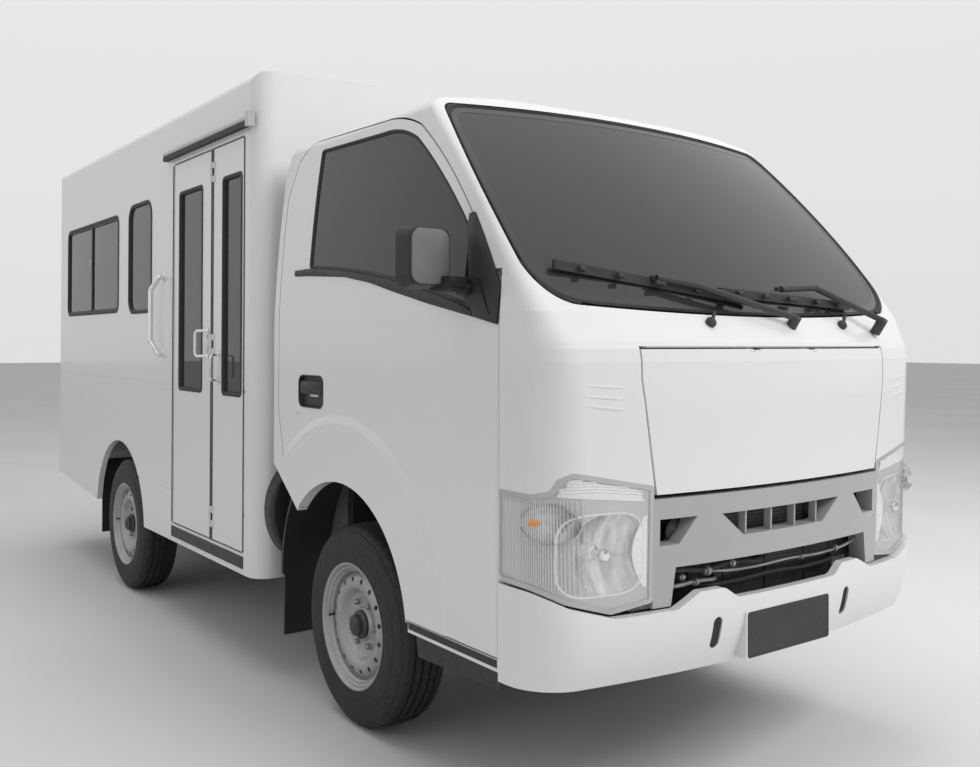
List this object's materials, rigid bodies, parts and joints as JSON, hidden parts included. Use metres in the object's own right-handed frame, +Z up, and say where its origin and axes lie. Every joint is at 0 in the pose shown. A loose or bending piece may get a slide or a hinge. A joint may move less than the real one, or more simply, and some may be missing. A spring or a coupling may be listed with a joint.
{
  "type": "light truck",
  "caption": "Semi-forward-cab light truck with a boxed passenger body, bi-fold side entry door and bench seats.",
  "frame": {"origin": "centre of the footprint, on the ground under the wheels", "axes": "+X to the vehicle's left, +Y to the rear, +Z up"},
  "size_m": [2.06, 5.1979, 2.443],
  "materials": {
    "white_paint": "gloss",
    "black_metal": "satin",
    "dark_glass": "polished",
    "lamp_glass": "polished",
    "lamp_silver": "polished",
    "red_lamp": "gloss",
    "grey_plastic": "satin",
    "black_plastic": "matte",
    "rubber": "matte",
    "tyre": "matte",
    "rim_silver": "satin",
    "cast": "rough",
    "steel": "brushed",
    "chrome": "polished",
    "seat_fabric": "woven",
    "aluminium": "satin"
  },
  "bodies": {
    "vehicle": {"chassis_frame": "black_metal", "powertrain": "cast", "front_suspension": "black_metal", "rear_axle": "black_metal", "fuel_tank": "black_metal", "exhaust": "steel", "cab_shell": "white_paint", "cab_glass": "dark_glass", "dashboard": "black_plastic", "steering_wheel": "black_plastic", "cab_seats": "seat_fabric", "grille": "grey_plastic", "headlamps": "lamp_silver", "headlamp_lenses": "lamp_glass", "front_bumper": "white_paint", "wipers": "black_plastic", "cab_steps": "black_plastic", "mudguards": "rubber", "body_floor": "aluminium", "body_right_side": "white_paint", "body_left_side": "white_paint", "body_front_wall": "white_paint", "body_rear_wall": "white_paint", "body_roof": "white_paint", "body_glass": "dark_glass", "air_duct": "black_plastic", "passenger_benches": "aluminium", "bench_cushions": "seat_fabric", "entry_rail": "aluminium", "boarding_handle": "chrome", "rear_bumper": "black_metal", "tail_lamps": "red_lamp", "spare_wheel": "tyre"},
    "right_cab_door": {"cab_door_right": "white_paint", "door_glass_right": "dark_glass", "mirror_right": "grey_plastic"},
    "left_cab_door": {"cab_door_left": "white_paint", "door_glass_left": "dark_glass", "mirror_left": "grey_plastic"},
    "front_service_lid": {"front_lid": "white_paint"},
    "entry_front": {"entry_leaf_front": "white_paint", "entry_glass_front": "dark_glass", "entry_handle_front": "chrome"},
    "entry_rear": {"entry_leaf_rear": "white_paint", "entry_glass_rear": "dark_glass", "entry_handle_rear": "chrome"},
    "back_door": {"rear_door": "white_paint", "rear_door_glass": "dark_glass"},
    "right_knuckle": {"steering_knuckle_right": "cast"},
    "left_knuckle": {"steering_knuckle_left": "cast"},
    "front_right_wheel": {"tyre_front_right": "tyre", "rim_front_right": "rim_silver"},
    "front_left_wheel": {"tyre_front_left": "tyre", "rim_front_left": "rim_silver"},
    "rear_right_wheel": {"tyre_rear_right": "tyre", "rim_rear_right": "rim_silver"},
    "rear_left_wheel": {"tyre_rear_left": "tyre", "rim_rear_left": "rim_silver"}
  },
  "joints": [
    {"name": "steer_right", "type": "hinge", "parent": "vehicle", "child": "right_knuckle", "pos_m": [-0.58, -1.361, 0.35], "axis": [0, 0, 1], "range_deg": [-33, 33]},
    {"name": "steer_left", "type": "hinge", "parent": "vehicle", "child": "left_knuckle", "pos_m": [0.58, -1.361, 0.35], "axis": [0, 0, 1], "range_deg": [-33, 33]},
    {"name": "front_right_spin", "type": "hinge", "parent": "right_knuckle", "child": "front_right_wheel", "pos_m": [-0.7025, -1.361, 0.35], "axis": [1, 0, 0], "continuous": true},
    {"name": "front_left_spin", "type": "hinge", "parent": "left_knuckle", "child": "front_left_wheel", "pos_m": [0.7025, -1.361, 0.35], "axis": [1, 0, 0], "continuous": true},
    {"name": "rear_right_spin", "type": "hinge", "parent": "vehicle", "child": "rear_right_wheel", "pos_m": [-0.765, 1.089, 0.35], "axis": [1, 0, 0], "continuous": true},
    {"name": "rear_left_spin", "type": "hinge", "parent": "vehicle", "child": "rear_left_wheel", "pos_m": [0.765, 1.089, 0.35], "axis": [1, 0, 0], "continuous": true},
    {"name": "right_door_swing", "type": "hinge", "parent": "vehicle", "child": "right_cab_door", "pos_m": [-0.833, -2.269, 1], "axis": [0, 0, 1], "range_deg": [0, 65]},
    {"name": "left_door_swing", "type": "hinge", "parent": "vehicle", "child": "left_cab_door", "pos_m": [0.833, -2.269, 1], "axis": [0, 0, -1], "range_deg": [0, 65]},
    {"name": "front_lid_lift", "type": "hinge", "parent": "vehicle", "child": "front_service_lid", "pos_m": [0, -2.578, 1.319], "axis": [-1, 0, 0], "range_deg": [0, 65]},
    {"name": "entry_fold", "type": "hinge", "parent": "vehicle", "child": "entry_front", "pos_m": [-0.863, -0.567, 1.3], "axis": [0, 0, -1], "range_deg": [0, 75]},
    {"name": "entry_second_leaf", "type": "hinge", "parent": "entry_front", "child": "entry_rear", "pos_m": [-0.885, -0.237, 1.3], "axis": [0, 0, 1], "range_deg": [0, 125]},
    {"name": "back_door_swing", "type": "hinge", "parent": "vehicle", "child": "back_door", "pos_m": [0.407, 2.533, 1.4], "axis": [0, 0, -1], "range_deg": [0, 100]}
  ],
  "couplings": [
    {"joint": "steer_left", "follows": "steer_right", "ratio": 1},
    {"joint": "entry_second_leaf", "follows": "entry_fold", "ratio": 1.62}
  ]
}
